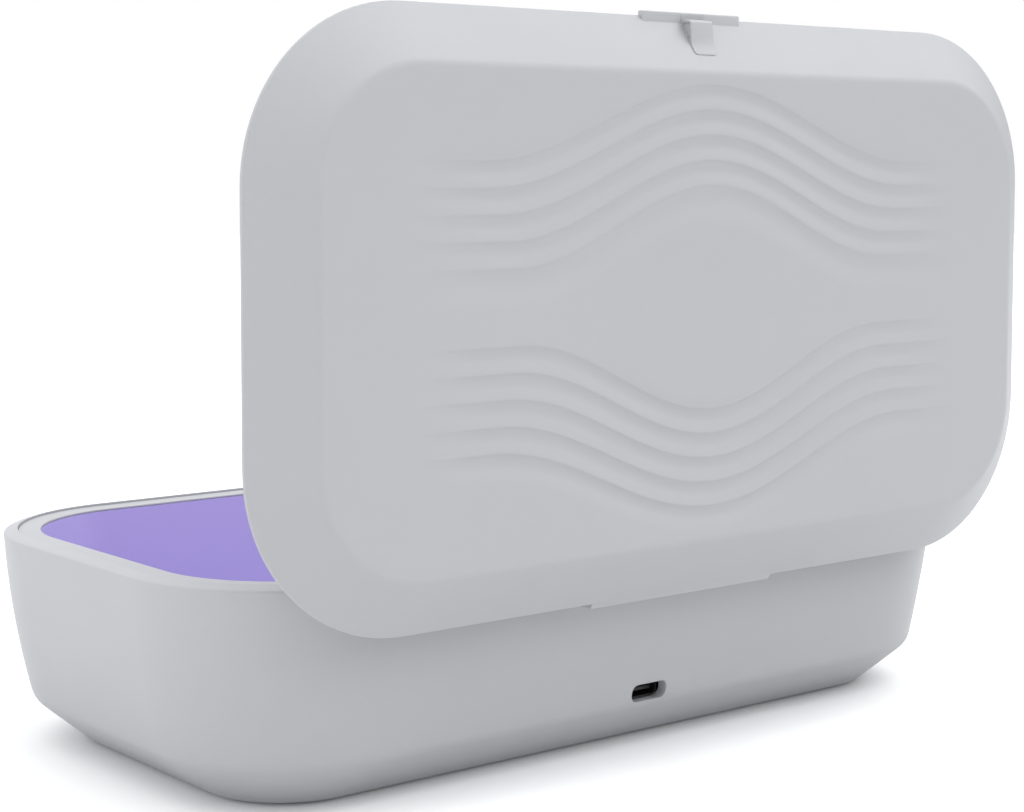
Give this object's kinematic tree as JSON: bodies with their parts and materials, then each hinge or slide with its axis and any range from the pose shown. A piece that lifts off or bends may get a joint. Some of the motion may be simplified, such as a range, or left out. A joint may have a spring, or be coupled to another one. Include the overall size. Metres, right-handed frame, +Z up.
{
  "type": "uv phone sanitizer box",
  "caption": "Oval-cornered clamshell box with a hinged lid, violet chamber, ultraviolet lamps under the floor, flip clasp, front button and rear power inlet.",
  "frame": {"origin": "centre of the base's footprint, on the surface that the box stands on", "axes": "+X along the box's length, -Y towards the front with the clasp and the button, +Y towards the hinge and the power inlet, +Z up; the lid stands open"},
  "size_m": [0.2216, 0.1343, 0.16],
  "materials": {
    "shell_plastic": "satin, finely textured",
    "rim_plastic": "satin",
    "liner_plastic": "satin",
    "chamber_violet": "smooth satin, violet",
    "reflector_metal": "bright rolled",
    "window_glass": "clear",
    "lamp_ceramic": "ceramic body with a clear lens",
    "light_guide": "milky, translucent",
    "button_plastic": "satin",
    "rubber_dark": "matte",
    "gasket_rubber": "matte, soft",
    "board_green": "solder-mask green",
    "chip_black": "matte moulded",
    "steel": "turned"
  },
  "bodies": {
    "base": {"base_shell": "shell_plastic", "chamber_tray": "chamber_violet", "rim_frame": "rim_plastic", "lamp_windows": "window_glass", "uv_lamps": "lamp_ceramic", "lamp_board_left": "board_green", "lamp_board_right": "board_green", "lamp_screws": "steel", "main_board": "board_green", "board_screws": "steel", "board_chips": "chip_black", "usb_socket": "steel", "lid_switch": "chip_black", "light_ring": "light_guide", "tact_switch": "chip_black", "button_board": "board_green", "rubber_feet": "rubber_dark", "tray_screws": "steel", "hinge_pins": "steel"},
    "lid": {"lid_shell": "shell_plastic", "lid_liner": "liner_plastic", "lid_gasket": "gasket_rubber", "lid_reflector": "reflector_metal", "lid_screws": "steel", "lid_magnet": "steel", "clasp_pin": "steel"},
    "clasp": {"clasp": "shell_plastic"},
    "power_button": {"power_button": "button_plastic"}
  },
  "joints": [
    {"name": "lid_hinge", "type": "hinge", "parent": "base", "child": "lid", "pos_m": [0, 0.05745, 0.04085], "axis": [1, 0, 0], "range_deg": [0, 90]},
    {"name": "clasp_pivot", "type": "hinge", "parent": "lid", "child": "clasp", "pos_m": [0, 0.06588, 0.15892], "axis": [1, 0, 0], "range_deg": [0, 240]},
    {"name": "button_press", "type": "slide", "parent": "base", "child": "power_button", "axis": [0, 0.9874, 0.1582], "range_m": [0, 0.0006], "stiffness_N_per_m": 400, "springref_m": -0.0005}
  ]
}
